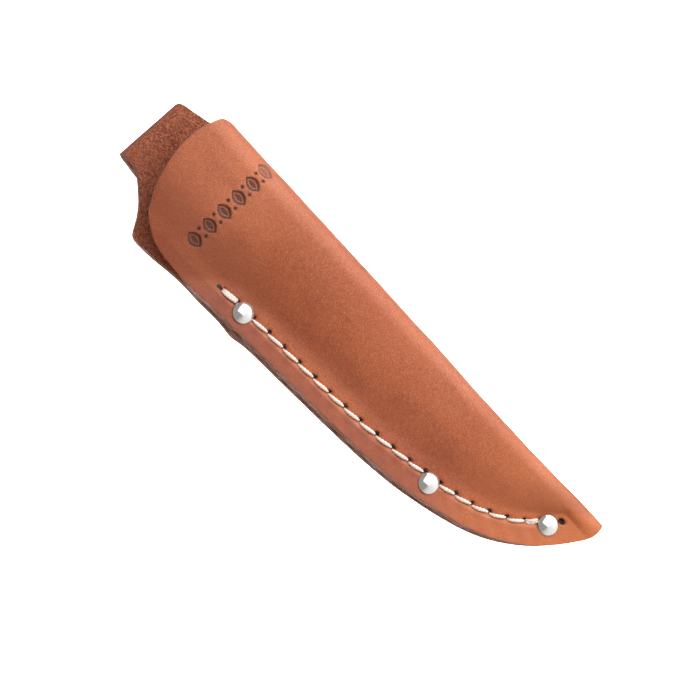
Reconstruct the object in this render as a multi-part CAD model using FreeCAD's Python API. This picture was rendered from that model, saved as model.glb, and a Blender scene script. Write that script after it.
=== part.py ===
"""Leather belt sheath for a small fixed-blade whittling knife.

One leather blank is folded along its spine into a front and a back panel. The back panel runs on above
the mouth as a strap, which folds over behind the sheath and is sewn and riveted down as a belt loop.
A welt lies between the panels along the seam. Two threads meet in every awl hole of the seam, and three
two-piece cap rivets back them up.

Millimetres. The sheath hangs as it is worn: +Z up to the mouth, front panel facing -Y, seam edge at -X,
spine at +X. Shapes are drawn with z = 0 at the tip and y = 0 on the outer face of the back panel, and
moved at the end so that the origin is the middle of the belt slot.
"""

import FreeCAD, Part
import math
import os

Vec = FreeCAD.Vector

# ---- leather ---------------------------------------------------------------------------------------
LEATHER = 2.8                    # thickness of the folded blank
WELT = 2.8                       # thickness of the strip between the panels
STACK = 2 * LEATHER + WELT       # thickness of the sewn seam
BEYOND = 56.0                    # cutting shapes may reach this far past the spine

# ---- pouch -----------------------------------------------------------------------------------------
MOUTH_HEIGHT = 170.0
MOUTH_BULGE = 9.8                # how far the front panel stands above the seam at the mouth
BULGE_POWER = 0.75               # how the bulge fades from the mouth to the tip
FIRST_STITCH = 131.0
MOUTH_LIFT = 1.4                 # how far the front panel's free edge lifts above the first stitch
SPINE_X = -1.2                   # the spine's outer face
SPINE_DIP, DIP_HEIGHT, DIP_REACH = 0.55, 46.0, 24.0   # it is pulled in above the middle rivet
TIP_LEAN = 0.35                  # how far it leans out again at the tip
FLAT_BESIDE_STITCHES = 3.4       # from the stitch line to where the front panel starts to rise
BEND_REACH, BEND_GROWTH = 4.6, 0.42   # reach of the spine's bend over the front, and more where it bulges
BACK_REACH, BACK_GROWTH = 4.2, 0.12   # the same over the back
STITCHES_END, FREE_EDGE_X = 126.0, -50.0   # above the stitches the arch spreads over the whole width
TURN_UP, ARCH = 0.15, 1.9        # the front turns up beside the seam, then arches over to the spine
FLAT_END = 3.0                   # level stretch at both ends of a section's curve
FACE_POINTS = 23
SECTION_HEIGHTS = [-8, 3, 12, 22, 36, 52, 72, 95, 118, 140, 160, 182]

# ---- belt loop -------------------------------------------------------------------------------------
STRAP_LEFT, STRAP_RIGHT = -29.2, -6.0
STRAP_X = (STRAP_LEFT + STRAP_RIGHT) / 2
STRAP_WIDTH = STRAP_RIGHT - STRAP_LEFT
STRAP_BASE = 174.0               # where the loop joins the flat of the back panel
FOLD_Z = 175.2                   # centre of the fold at the top of the loop
FOLD_R = 0.9                     # inner radius of that fold
SLOT_GAP = 5.9                   # clear depth of the belt slot at its widest
TAIL_GAP = 0.15                  # between the tail and the back panel that it is sewn to
TAIL_TOP = 114.5                 # where the tail comes to rest on the back panel
TAIL_CENTRE = 103.5              # height of the centre of the tail's round end
SLOT_CENTRE = Vec(STRAP_X, SLOT_GAP / 2, 150.0)

# ---- thread ----------------------------------------------------------------------------------------
THREAD_R = 0.55
THREAD_FIT = 0.04                # clearance between thread and leather
THREAD_SUNK = 0.45               # how deep a stitch presses into the leather
SUNK_UNDER_RIVET = 1.12          # stitches that pass under a rivet's head are sunk completely
LEG_STEP = 0.62                  # a stitch's leg stands this far from the middle of its hole
SEAM_STITCHES = 20
LONG_STITCHES, LONG_PITCH, SHORT_PITCH = 12, 6.28, 5.8
LAST_STITCH = 4.4                # the last one before the tip rivet
EMPTY_HOLE = 7.1                 # from the last stitch to the one awl hole left empty
LOOP_STITCHES = 6
LOOP_STITCH_R = 7.2
LOOP_STITCH_TOP = 112.0

# ---- rivets ----------------------------------------------------------------------------------------
CAP_R = 3.3
CAP_RIM = 0.35
FRONT_DOME, BACK_DOME = 1.75, 1.2
SOCKET_R, SOCKET_BORE, POST_R = 1.3, 0.95, 0.9
RIVET_HOLE_R = 1.35
RIVETS = {"mouth": (-37.3, 121.8), "middle": (-31.8, 47.2), "tip": (-13.9, 12.6)}
BOW = 1.15                       # a stitch under a rivet bows this far to pass its shank
BOWS = {1: BOW, 13: BOW, 19: 0.0}   # stitches that lie under a rivet's head
LOOP_RIVET = (STRAP_X, 109.5)

# ---- outlines, as (x, z) ---------------------------------------------------------------------------
SEAM_EDGE = [(-9.5, 1.7), (-16.8, 7.0), (-24.4, 15.0), (-30.3, 24.5), (-35.1, 38.3), (-38.3, 53.0),
             (-40.5, 76.0), (-41.8, 105.0), (-43.0, 132.0)]
FRONT_MOUTH = [(-43.0, 132.0), (-43.7, 147.0), (-42.4, 155.8), (-38.9, 161.9), (-32.3, 166.4),
               (-22.3, 169.6), (-14.0, 170.1), (-6.8, 168.5)]
MOUTH_CORNER = [(-6.8, 168.5), (-3.6, 166.9), (-2.1, 164.6), (-0.9, 161.8)]
RIGHT_OF_SPINE = [(9.0, 161.8), (9.0, 0.3)]
TIP_END = [(4.0, 0.3), (-0.9, 0.0), (-3.9, -0.1), (-6.7, 0.3), (-9.5, 1.7)]
SHOULDER_EDGE = [(-43.0, 132.0), (-43.2, 143.0), (-44.2, 151.5), (-44.5, 157.2)]
SHOULDER_CORNER = [(-44.5, 157.2), (-43.9, 159.7), (-42.0, 161.1)]
SHOULDER_CURVE = [(-42.0, 161.1), (-36.9, 164.3), (-32.6, 168.4), (-29.9, 172.0), (STRAP_LEFT, STRAP_BASE)]
NOTCH = [(STRAP_RIGHT, STRAP_BASE), (-5.1, 170.6), (-3.8, 166.9), (-2.3, 164.2), (-0.9, 161.8)]
STITCH_LINE = [(-37.1, 131.2), (-36.0, 112.0), (-33.5, 69.0), (-30.6, 50.5), (-24.6, 28.2),
               (-18.3, 18.4), (-8.0, 8.4)]
WELT_TOP = [(-43.0, 132.0), (-43.35, 139.0)]
WELT_TIP = [(-5.4, 0.05), (-6.7, 0.3), (-9.5, 1.7)]
WELT_INSIDE = [(-5.4, 12.0), (-8.4, 13.6), (-16.0, 20.8), (-22.3, 30.0), (-28.0, 50.5), (-30.9, 69.0),
               (-33.4, 112.0), (-34.6, 134.0)]
LOOP_INSIDE = [(2 * FOLD_R, FOLD_Z), (4.9, 167.5), (SLOT_GAP, 156.0), (SLOT_GAP, 144.0), (4.9, 132.0),
               (1.9, 121.0), (TAIL_GAP, TAIL_TOP)]   # as (y, z)


# ---- small tools -----------------------------------------------------------------------------------
def eased(t):
    """0 to 1 with flat ends."""
    t = min(1.0, max(0.0, t))
    return t * t * (3 - 2 * t)


def straight(a, b):
    return Part.LineSegment(a, b)


def curve_through(points, start=None, end=None):
    """A smooth curve, with its end directions held when they are given."""
    curve = Part.BSplineCurve()
    if start is None:
        curve.interpolate(Points=points)
    else:
        curve.interpolate(Points=points, InitialTangent=start, FinalTangent=end)
    return curve


def outline(*runs):
    """Closed wire in the plane y = 0 through runs of (x, z) points: two points make a straight edge, more
    make a smooth one, and straight edges bridge the runs."""
    curves = []
    for run, after in zip(runs, runs[1:] + runs[:1]):
        points = [Vec(x, 0, z) for x, z in run]
        curves.append(curve_through(points) if len(points) > 2 else straight(*points))
        if math.dist(run[-1], after[0]) > 1e-6:
            curves.append(straight(points[-1], Vec(after[0][0], 0, after[0][1])))
    return Part.Wire([c.toShape() for c in curves])


def slab(wire, y_low, y_high):
    """An outline pulled from y_low to y_high."""
    wire.translate(Vec(0, y_low, 0))
    return Part.Face(wire).extrude(Vec(0, y_high - y_low, 0))


def rod(a, b, radius):
    return Part.makeCylinder(radius, (b - a).Length, a, b - a)


def fused(shapes):
    return shapes[0].multiFuse(shapes[1:]).removeSplitter() if len(shapes) > 1 else shapes[0]


# ---- the pouch -------------------------------------------------------------------------------------
STITCH_EDGE = curve_through([Vec(x, 0, z) for x, z in STITCH_LINE]).toShape()


def stitch_x(z):
    """x of the stitch line at height z."""
    low, high = STITCH_EDGE.FirstParameter, STITCH_EDGE.LastParameter
    for _ in range(40):
        middle = (low + high) / 2
        if STITCH_EDGE.valueAt(middle).z > z:
            low = middle
        else:
            high = middle
    return STITCH_EDGE.valueAt(low).x


def spine_x(z):
    dip = SPINE_DIP * math.exp(-((z - DIP_HEIGHT) / DIP_REACH) ** 2)
    return SPINE_X - dip + TIP_LEAN * eased((22.0 - z) / 16.0)


def bulge(z):
    return MOUTH_BULGE * (max(z, 0.0) / MOUTH_HEIGHT) ** BULGE_POWER


def edge_lift(z):
    """The panels part above the first stitch."""
    return MOUTH_LIFT * eased((z - FIRST_STITCH) / (MOUTH_HEIGHT - FIRST_STITCH))


def arched(t):
    """0 to 1 with flat ends: a short turn up and a long arch over."""
    turned_up = t * t / (t + TURN_UP) * (1 + TURN_UP)
    return 1 - (1 - turned_up) ** ARCH


def rise_x(z):
    """x where the front panel leaves the flat of the seam."""
    beside = min(stitch_x(z) + FLAT_BESIDE_STITCHES, spine_x(z) - BEND_REACH - 2.5)
    return beside + (FREE_EDGE_X - beside) * eased((z - STITCHES_END) / 26.0)


def face_path(z):
    """The leather's outer face at height z as closely spaced points: level beside the seam, up over the
    front, round the spine and level again on the back."""
    front = -(STACK + edge_lift(z))
    crest = -(STACK + bulge(z))
    start = rise_x(z)
    front_reach = BEND_REACH + BEND_GROWTH * bulge(z)
    back_reach = BACK_REACH + BACK_GROWTH * bulge(z)
    bend = spine_x(z) - front_reach
    path = [Vec(start - FLAT_END * (1 - i / 10), front, z) for i in range(10)]
    for i in range(100):
        path.append(Vec(start + (bend - start) * i / 100, front + (crest - front) * arched(i / 100), z))
    for i in range(101):
        a = math.pi * (0.5 - i / 100)
        reach = front_reach if a > 0 else back_reach
        path.append(Vec(spine_x(z) - reach * (1 - math.cos(a)), crest / 2 * (1 + math.sin(a)), z))
    return path + [Vec(spine_x(z) - back_reach - FLAT_END * i / 10, 0, z) for i in range(1, 11)]


def evenly(path, inset):
    """Points evenly spaced along a path, moved inset towards its inner side."""
    reached = [0.0]
    for a, b in zip(path, path[1:]):
        reached.append(reached[-1] + (b - a).Length)
    points = []
    for k in range(FACE_POINTS):
        goal = reached[-1] * k / (FACE_POINTS - 1)
        i = min(sum(1 for r in reached if r < goal), len(path) - 1)
        along = path[min(i + 1, len(path) - 1)] - path[max(i - 1, 0)]
        points.append(path[i] + Vec(-along.y, along.x, 0).normalize() * inset)
    return points


def section(z, inset):
    """Cross-section of the pouch at height z, drawn inset inside the leather's outer face. The curves of
    all sections are numbered alike, so that they loft cleanly."""
    points = evenly(face_path(z), inset)
    bent = Part.BSplineCurve()
    bent.interpolate(Points=points, Parameters=[i / (FACE_POINTS - 1) for i in range(FACE_POINTS)])
    corners = [Vec(-BEYOND, points[-1].y, z), Vec(-BEYOND, points[0].y, z)]
    edges = [bent, straight(points[-1], corners[0]), straight(corners[0], corners[1]),
             straight(corners[1], points[0])]
    return Part.Wire([e.toShape() for e in edges])


def pouch_form(inset):
    return Part.makeLoft([section(z, inset) for z in SECTION_HEIGHTS], True, False)


def panels():
    """Front and back panel with the spine's fold between them."""
    front = slab(outline(SEAM_EDGE, FRONT_MOUTH, MOUTH_CORNER, RIGHT_OF_SPINE, TIP_END), -40, -STACK / 2)
    back = slab(outline(SEAM_EDGE, SHOULDER_EDGE, SHOULDER_CORNER, SHOULDER_CURVE, NOTCH, RIGHT_OF_SPINE,
                        TIP_END), -STACK / 2, 10)
    return pouch_form(0.0).cut(pouch_form(LEATHER)).common(front.fuse(back))


# ---- the belt loop ---------------------------------------------------------------------------------
def loop_side(inset):
    """One face of the strap as curves in the plane x = 0, from the back panel over the fold to the tail."""
    down = Vec(0, 0, -1)
    points = [Vec(0, y, z) for y, z in LOOP_INSIDE]
    side = curve_through(points, down, down)
    if inset:
        along = [down] + [side.tangent(side.parameter(p))[0] for p in points[1:-1]] + [down]
        points = [p + Vec(0, -t.z, t.y) * inset for p, t in zip(points, along)]
        side = curve_through(points, down, down)
    radius = FOLD_R + inset
    left, right = FOLD_R - radius, FOLD_R + radius
    fold = Part.Arc(Vec(0, left, FOLD_Z), Vec(0, FOLD_R, FOLD_Z + radius), Vec(0, right, FOLD_Z))
    tail_end = Vec(0, points[-1].y, TAIL_CENTRE - STRAP_WIDTH)
    return [straight(Vec(0, left, STRAP_BASE), Vec(0, left, FOLD_Z)), fold, side,
            straight(points[-1], tail_end)]


def strap():
    inner, outer = loop_side(0.0), loop_side(LEATHER)
    tail = straight(inner[-1].EndPoint, outer[-1].EndPoint)
    base = straight(outer[0].StartPoint, inner[0].StartPoint)
    wire = Part.Wire(Part.__sortEdges__([c.toShape() for c in inner + outer + [tail, base]]))
    wire.translate(Vec(STRAP_LEFT, 0, 0))
    ribbon = Part.Face(wire).extrude(Vec(STRAP_WIDTH, 0, 0))
    return ribbon.common(tail_shape())


def tail_shape():
    """The strap's outline seen from behind, with its round end."""
    top = 200.0
    arc = Part.Arc(Vec(STRAP_LEFT, 0, TAIL_CENTRE), Vec(STRAP_X, 0, TAIL_CENTRE - STRAP_WIDTH / 2),
                   Vec(STRAP_RIGHT, 0, TAIL_CENTRE))
    corners = [Vec(STRAP_RIGHT, 0, TAIL_CENTRE), Vec(STRAP_RIGHT, 0, top), Vec(STRAP_LEFT, 0, top),
               Vec(STRAP_LEFT, 0, TAIL_CENTRE)]
    edges = [arc.toShape()] + [straight(a, b).toShape() for a, b in zip(corners, corners[1:])]
    return slab(Part.Wire(edges), -10, 20)


# ---- stitches --------------------------------------------------------------------------------------
def with_directions(points):
    """Each point with the direction of the row there."""
    last = len(points) - 1
    return [(p, (points[min(i + 1, last)] - points[max(i - 1, 0)]).normalize())
            for i, p in enumerate(points)]


def seam_holes():
    distances = [0.0]
    for i in range(SEAM_STITCHES - 1):
        distances.append(distances[-1] + (LONG_PITCH if i < LONG_STITCHES else SHORT_PITCH))
    distances.append(distances[-1] + LAST_STITCH)
    distances.append(distances[-1] + EMPTY_HOLE)
    return with_directions([STITCH_EDGE.valueAt(STITCH_EDGE.getParameterByLength(d)) for d in distances])


def loop_holes():
    """The U-shaped row that holds the tail, from one side round to the other."""
    side = LOOP_STITCH_TOP - TAIL_CENTRE
    bend = math.pi * LOOP_STITCH_R
    points = []
    for i in range(LOOP_STITCHES + 1):
        d = i * (2 * side + bend) / LOOP_STITCHES
        a = math.pi + min(max(d - side, 0.0), bend) / LOOP_STITCH_R
        rise = max(0.0, side - d, d - side - bend)
        points.append(Vec(STRAP_X + LOOP_STITCH_R * math.cos(a), 0,
                          TAIL_CENTRE + rise + LOOP_STITCH_R * math.sin(a)))
    return with_directions(points)


def at_depth(p, y):
    return Vec(p.x, y, p.z)


def beaded(path, radius):
    """Rods along a path with a ball at every point of it."""
    rods = [rod(a, b, radius) for a, b in zip(path, path[1:])]
    return rods + [Part.makeSphere(radius, p) for p in path]


def stitch_path(hole, after, face, inward, bow):
    """The part of a stitch that lies on the face; bow is None unless it passes under a rivet."""
    sunk = THREAD_SUNK if bow is None else SUNK_UNDER_RIVET
    y = face - inward * (THREAD_R - sunk)
    (a, a_dir), (b, b_dir) = hole, after
    start, end = at_depth(a + a_dir * LEG_STEP, y), at_depth(b - b_dir * LEG_STEP, y)
    if not bow:
        return [start, end]
    across = (end - start).cross(Vec(0, 1, 0)).normalize()
    return [start, (start + end) * 0.5 + across * bow, end]


def thread(holes, face, middle, bows):
    """Thread lying on a face and dipping to the middle of the leather in every hole."""
    inward = 1 if middle > face else -1
    turn = middle - inward * (THREAD_R + THREAD_FIT / 2)
    pieces = []
    for i, (hole, after) in enumerate(zip(holes, holes[1:])):
        lying = stitch_path(hole, after, face, inward, bows.get(i))
        pieces += beaded([at_depth(lying[0], turn)] + lying + [at_depth(lying[-1], turn)], THREAD_R)
    for p, along in holes[1:-1]:
        start, end = p - along * LEG_STEP, p + along * LEG_STEP
        pieces.append(rod(at_depth(start, turn), at_depth(end, turn), THREAD_R))
    return fused(pieces)


def awl_holes(holes, front, back):
    """Slots with round ends through the leather from y = front to y = back."""
    radius = THREAD_R + THREAD_FIT
    cuts = []
    for p, along in holes:
        ends = [p - along * LEG_STEP, p + along * LEG_STEP]
        cuts += [rod(at_depth(e, front - 1), at_depth(e, back + 1), radius) for e in ends]
        side = along.cross(Vec(0, 1, 0)) * radius
        corners = [at_depth(q, front - 1) for q in (ends[0] - side, ends[1] - side, ends[1] + side,
                                                    ends[0] + side, ends[0] - side)]
        cuts.append(Part.Face(Part.makePolygon(corners)).extrude(Vec(0, back - front + 2, 0)))
    return cuts


def grooves(holes, face, middle, bows):
    """The dents that the stitches press into a face."""
    inward = 1 if middle > face else -1
    cuts = []
    for i, (hole, after) in enumerate(zip(holes, holes[1:])):
        cuts += beaded(stitch_path(hole, after, face, inward, bows.get(i)), THREAD_R + THREAD_FIT)
    return cuts


# ---- rivets ----------------------------------------------------------------------------------------
def turned(profile, centre, face, outward):
    """A profile of (radius, height) turned about the rivet's axis; height 0 lies on the leather's face."""
    points = [Vec(centre[0] + r, face + outward * h, centre[1]) for r, h in profile]
    (rim_r, rim_h), (_, top_h) = profile[-2:]
    rise = top_h - rim_h
    sphere_r = (rim_r ** 2 + rise ** 2) / (2 * rise)
    half = math.asin(rim_r / sphere_r) / 2
    crown = Vec(centre[0] + sphere_r * math.sin(half),
                face + outward * (top_h - sphere_r * (1 - math.cos(half))), centre[1])
    edges = [straight(a, b) for a, b in zip(points[:-1], points[1:-1])]
    edges += [Part.Arc(points[-2], crown, points[-1]), straight(points[-1], points[0])]
    face_shape = Part.Face(Part.Wire([e.toShape() for e in edges]))
    return face_shape.revolve(Vec(centre[0], 0, centre[1]), Vec(0, 1, 0), 360)


def rivet(centre, front, back):
    """Cap with its hollow shank, and the post that is driven into it from the back."""
    depth = back - front - 0.3
    cap = turned([(0, 0), (SOCKET_BORE, 0), (SOCKET_BORE, -depth), (SOCKET_R, -depth), (SOCKET_R, 0),
                  (CAP_R, 0), (CAP_R, CAP_RIM), (0, FRONT_DOME)], centre, front, -1)
    post = turned([(0, -depth), (POST_R, -depth), (POST_R, 0), (CAP_R, 0), (CAP_R, CAP_RIM),
                   (0, BACK_DOME)], centre, back, 1)
    return cap, post


def rivet_holes(places, front, back):
    return [rod(Vec(x, front - 1, z), Vec(x, back + 1, z), RIVET_HOLE_R) for x, z in places]


# ---- everything ------------------------------------------------------------------------------------
def welt():
    """The strip between the panels, which stops short of the spine's fold."""
    return slab(outline(SEAM_EDGE, WELT_TOP, WELT_INSIDE[::-1], WELT_TIP), -LEATHER - WELT, -LEATHER)


def without(shape, *groups):
    """A shape with groups of cutting shapes taken away, one fused group after the other."""
    for group in groups:
        shape = shape.cut(fused(group))
    return shape


def build():
    seam, tail = seam_holes(), loop_holes()
    sewn = seam[:-1]
    tail_face = TAIL_GAP + LEATHER
    tail_middle = (tail_face - LEATHER) / 2
    awl, tail_awl = awl_holes(seam, -STACK, 0.0), awl_holes(tail, -LEATHER, tail_face)
    bores = rivet_holes(RIVETS.values(), -STACK, 0.0)
    tail_bore = rivet_holes([LOOP_RIVET], -LEATHER, tail_face)
    nodes = {
        "sheath_body": without(panels().fuse(strap()), awl, bores, grooves(sewn, -STACK, -STACK / 2, BOWS),
                               grooves(sewn, 0.0, -STACK / 2, BOWS), tail_awl, tail_bore,
                               grooves(tail, -LEATHER, tail_middle, {}),
                               grooves(tail, tail_face, tail_middle, {})),
        "welt": without(welt(), awl, bores),
        "seam_front_thread": thread(sewn, -STACK, -STACK / 2, BOWS),
        "seam_back_thread": thread(sewn, 0.0, -STACK / 2, BOWS),
        "loop_inner_thread": thread(tail, -LEATHER, tail_middle, {}),
        "loop_outer_thread": thread(tail, tail_face, tail_middle, {}),
    }
    for name, centre in RIVETS.items():
        nodes[name + "_rivet_cap"], nodes[name + "_rivet_post"] = rivet(centre, -STACK, 0.0)
    nodes["loop_rivet_post"], nodes["loop_rivet_cap"] = loop_rivet(tail_face)
    return {name: shape.Solids[0] for name, shape in nodes.items()}


def loop_rivet(tail_face):
    """The loop's cap shows on the tail; the post is set from inside the pouch."""
    cap, post = rivet(LOOP_RIVET, -tail_face, LEATHER)
    turn = FreeCAD.Placement(Vec(2 * LOOP_RIVET[0], 0, 0), FreeCAD.Rotation(Vec(0, 0, 1), 180))
    for piece in (cap, post):
        piece.Placement = turn.multiply(piece.Placement)
    return post, cap


def main():
    os.makedirs("parts", exist_ok=True)
    for name, shape in build().items():
        shape.translate(Vec() - SLOT_CENTRE)
        shape.exportStep("parts/" + name + ".step")


main()
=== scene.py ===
"""Looks for a leather belt sheath: the folded blank, its welt, the twisted threads and the cap rivets.

Shapes are worked out in millimetres in the maker's frame, where z = 0 is the tip and y = 0 the outer face
of the back panel, and are moved to the row's frame, whose origin is the middle of the belt slot.
"""

import math

import bpy
import numpy as np
from mathutils import Matrix, Vector, noise


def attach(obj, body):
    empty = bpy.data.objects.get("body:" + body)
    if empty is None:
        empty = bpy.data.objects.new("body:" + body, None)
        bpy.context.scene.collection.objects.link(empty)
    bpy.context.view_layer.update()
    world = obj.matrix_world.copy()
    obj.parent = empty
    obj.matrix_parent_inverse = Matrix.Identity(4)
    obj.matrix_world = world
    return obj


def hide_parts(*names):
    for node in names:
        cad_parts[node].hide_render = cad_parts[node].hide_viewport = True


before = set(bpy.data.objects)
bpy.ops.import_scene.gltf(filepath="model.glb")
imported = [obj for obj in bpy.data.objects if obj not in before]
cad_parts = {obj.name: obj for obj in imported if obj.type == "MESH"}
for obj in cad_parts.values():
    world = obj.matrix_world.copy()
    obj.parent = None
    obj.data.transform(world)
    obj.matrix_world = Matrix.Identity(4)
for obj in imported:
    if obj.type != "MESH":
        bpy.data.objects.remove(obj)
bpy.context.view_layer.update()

bl_info = {
    "name": "Leather Belt Sheath",
    "version": (1, 0, 0),
    "blender": (4, 5, 0),
    "location": "View3D > Sidebar > Sheath",
    "description": "Builds the leather, thread and rivets of a belt sheath around its packed frame",
    "category": "Object",
}

MM = 0.001
SLOT_CENTRE = np.array((-17.6, 2.95, 150.0))

# ---- the pouch, in millimetres ---------------------------------------------------------------------
LEATHER = 2.8
STACK = 3 * LEATHER
MOUTH_HEIGHT, MOUTH_BULGE, BULGE_POWER = 170.0, 9.8, 0.75
FIRST_STITCH, MOUTH_LIFT = 131.0, 1.4
SPINE_X, SPINE_DIP, DIP_HEIGHT, DIP_REACH, TIP_LEAN = -1.2, 0.55, 46.0, 24.0, 0.35
FLAT_BESIDE_STITCHES, BEND_REACH, BEND_GROWTH = 3.4, 4.6, 0.42
BACK_REACH, BACK_GROWTH = 4.2, 0.12
STITCHES_END, FREE_EDGE_X = 126.0, -50.0
TURN_UP, ARCH = 0.15, 1.9
SEAM_EDGE = [(-9.5, 1.7), (-16.8, 7.0), (-24.4, 15.0), (-30.3, 24.5), (-35.1, 38.3), (-38.3, 53.0),
             (-40.5, 76.0), (-41.8, 105.0), (-43.0, 132.0)]
MOUTH_SIDE = [(-43.0, 132.0), (-43.7, 147.0), (-42.4, 155.8), (-38.9, 161.9)]
MOUTH_TOP = [(-38.9, 161.9), (-32.3, 166.4), (-22.3, 169.6), (-14.0, 170.1), (-6.8, 168.5), (-3.6, 166.9),
             (-2.1, 164.6), (-0.9, 161.8)]
TIP_END = [(-9.5, 1.7), (-6.7, 0.3), (-3.9, -0.1), (-0.9, 0.0)]
SHOULDER_EDGE = [(-43.0, 132.0), (-43.2, 143.0), (-44.2, 151.5), (-44.5, 157.2)]
SHOULDER_CORNER = [(-44.5, 157.2), (-43.9, 159.7), (-42.0, 161.1)]
STRAP_LEFT, STRAP_RIGHT, STRAP_BASE = -29.2, -6.0, 174.0
SHOULDER_CURVE = [(STRAP_LEFT, STRAP_BASE), (-29.9, 172.0), (-32.6, 168.4), (-36.9, 164.3), (-42.0, 161.1)]
NOTCH = [(-0.9, 161.8), (-2.3, 164.2), (-3.8, 166.9), (-5.1, 170.6), (STRAP_RIGHT, STRAP_BASE)]
STITCH_LINE = [(-37.1, 131.2), (-36.0, 112.0), (-33.5, 69.0), (-30.6, 50.5), (-24.6, 28.2),
               (-18.3, 18.4), (-8.0, 8.4)]
WELT_TIP = [(-5.4, 0.05), (-6.7, 0.3), (-9.5, 1.7)]
WELT_TOP = [(-43.0, 132.0), (-43.35, 139.0)]
WELT_INSIDE = [(-5.4, 12.0), (-8.4, 13.6), (-16.0, 20.8), (-22.3, 30.0), (-28.0, 50.5), (-30.9, 69.0),
               (-33.4, 112.0), (-34.6, 134.0)]
WELT_PLAY, WELT_ROUND = 0.03, 0.3    # gap left above and below the welt; radius of its rubbed edges

# ---- the belt loop ---------------------------------------------------------------------------------
STRAP_X = (STRAP_LEFT + STRAP_RIGHT) / 2
STRAP_HALF = (STRAP_RIGHT - STRAP_LEFT) / 2
STRAP_SLOPE, STRAP_FLARE, SHEAR_FROM = 0.05, 0.8, 162.0
NOTCH_FLAT_FROM, NOTCH_FLAT_RISE = 162.5, 5.0   # above the mouth's corner the back panel lies flat
LOOP_TRIM = 1.4                  # the strap is this much narrower, on +X, behind the fold than before it
FOLD_Z, FOLD_R, SLOT_GAP = 175.2, 0.9, 5.9
TAIL_GAP, TAIL_TOP, TAIL_CENTRE = 0.15, 114.5, 103.5
TAIL_FACE, TAIL_MIDDLE = TAIL_GAP + LEATHER, TAIL_GAP / 2
LOOP_INSIDE = [(2 * FOLD_R, FOLD_Z), (4.9, 167.5), (SLOT_GAP, 156.0), (SLOT_GAP, 144.0), (4.9, 132.0),
               (1.9, 121.0), (TAIL_GAP, TAIL_TOP)]

# ---- stitches and rivets ---------------------------------------------------------------------------
THREAD_R, LEG_SHORT = 0.55, 0.62
THREAD_TOP, SUNK_TOP, BOW = 0.10, -0.62, 1.05   # a stitch's crest, in the open and under a head; its bow
SEAM_STITCHES, LONG_STITCHES, LONG_PITCH, SHORT_PITCH = 20, 12, 6.28, 5.8
LAST_STITCH, EMPTY_HOLE = 4.4, 7.1
EMPTY_INDEX = SEAM_STITCHES + 1
UNDER_RIVETS = {1: True, 13: True, 19: False}   # stitches under a head: does the thread bow round it?
BACK_TACKS = ((0, 0.66), (19, 0.6))             # doubled stitches, and how far the second thread lies beside
TACK_THINNER = 0.96
LOOP_STITCHES, LOOP_STITCH_R, LOOP_STITCH_TOP = 6, 7.2, 112.0
CAP_R, CAP_RIM, FRONT_DOME, BACK_DOME = 3.3, 0.28, 1.75, 1.2
CAP_SUNK, CAP_SHANK, POST_SHANK = 0.12, 1.3, 0.9
RIVETS = {"mouth": (-37.3, 121.8), "middle": (-31.8, 47.2), "tip": (-13.9, 12.6)}
LOOP_RIVET = (STRAP_X, 109.5)

# ---- grid of the blank -----------------------------------------------------------------------------
FRONT_COLUMNS, BACK_COLUMNS = 96, 62
MARGIN_COLUMNS, MARGIN_STEP, EDGE_STEP = 20, 0.5, 0.9
NARROW = 26.0
S_REACH, S_STEP = 76.0, 0.2
ROLL_HEIGHTS = np.arange(-12.0, 186.0, 1.0)
MAP_SPAN = 200.0                 # millimetres across the blank's UV map
BACK_FROM = 2.0                  # the back panel proper starts this far past the middle of the spine
FAR_FROM_SEAM = 40.0             # what the seam map says all over the strap

# ---- marks on the leather, as depths in millimetres ------------------------------------------------
STAMP_Z, STAMP_HALF_BAND = 147.5, 5.0
STAMP_START, STAMP_PITCH, STAMP_COUNT = -37.0, 5.75, 6
STAMP_LEAF, STAMP_DOT, STAMP_DOT_RISE = (2.0, 2.9), 0.62, 1.55
STAMP_DEEP = 0.42
GROOVE, HOLE_PULL, HOLLOW, SLIT = 0.30, 0.22, 0.30, 0.75
LIP, PUCKER = -0.20, -0.14       # these two stand up
EMPTY_DEEP, SEAT_DEEP = 1.3, 0.34
SWELL, SWELL_HEIGHT, SWELL_REACH = 0.75, 118.5, 4.0

# ---- fixed colours, as 0-255 display values --------------------------------------------------------
# the slit and hole colours are painted shadow inside the awl holes
SLIT_SHADOW, HOLE_SHADOW, BURNISHED = (22, 14, 11), (34, 18, 12), (70, 42, 30)
THREAD_SOIL, DULL_NICKEL = (170, 128, 104), (140, 128, 112)
STAGE_LIGHT, STAGE_DARK = (250, 250, 250), (247, 247, 247)

# ---- stage, in metres in the row's frame -----------------------------------------------------------
CAMERA_PLACE = Vector((-0.30506, -1.16028, 0.11293))
CAMERA_RIGHT = Vector((0.68043917, -0.27925465, -0.67750968))
CAMERA_UP = Vector((0.6885152, -0.07291667, 0.72154693))
CAMERA_LENS, CAMERA_SENSOR = 210.446, 36.0
WORLD_COLOUR, WORLD_STRENGTH = (1.0, 0.99, 0.98, 1.0), 0.36
FLOOR_Z, BACKDROP_Y, STAGE_SIZE = -0.62, 3.0, 10.0
SHEATH_MIDDLE, BACKDROP_FOOT = (0.0, 0.0, -0.055), (0.0, 2.9, -0.6)
# name, place, what it points at, size, watts, spread in degrees
LIGHTS = (
    ("key_softbox", (1.05, -0.50, -0.02), SHEATH_MIDDLE, (1.4, 1.7), 20.0, 180.0),
    ("front_fill", (0.50, -1.50, 0.30), SHEATH_MIDDLE, (2.1, 2.1), 16.5, 180.0),
    ("back_fill", (0.30, 1.00, 0.60), SHEATH_MIDDLE, (0.9, 0.9), 5.0, 180.0),
    ("backdrop_light", (0.0, 1.6, 1.5), BACKDROP_FOOT, (4.0, 1.2), 110.0, 90.0),
)


# ---- small tools -----------------------------------------------------------------------------------
def eased(t):
    t = np.clip(t, 0.0, 1.0)
    return t * t * (3 - 2 * t)


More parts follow.
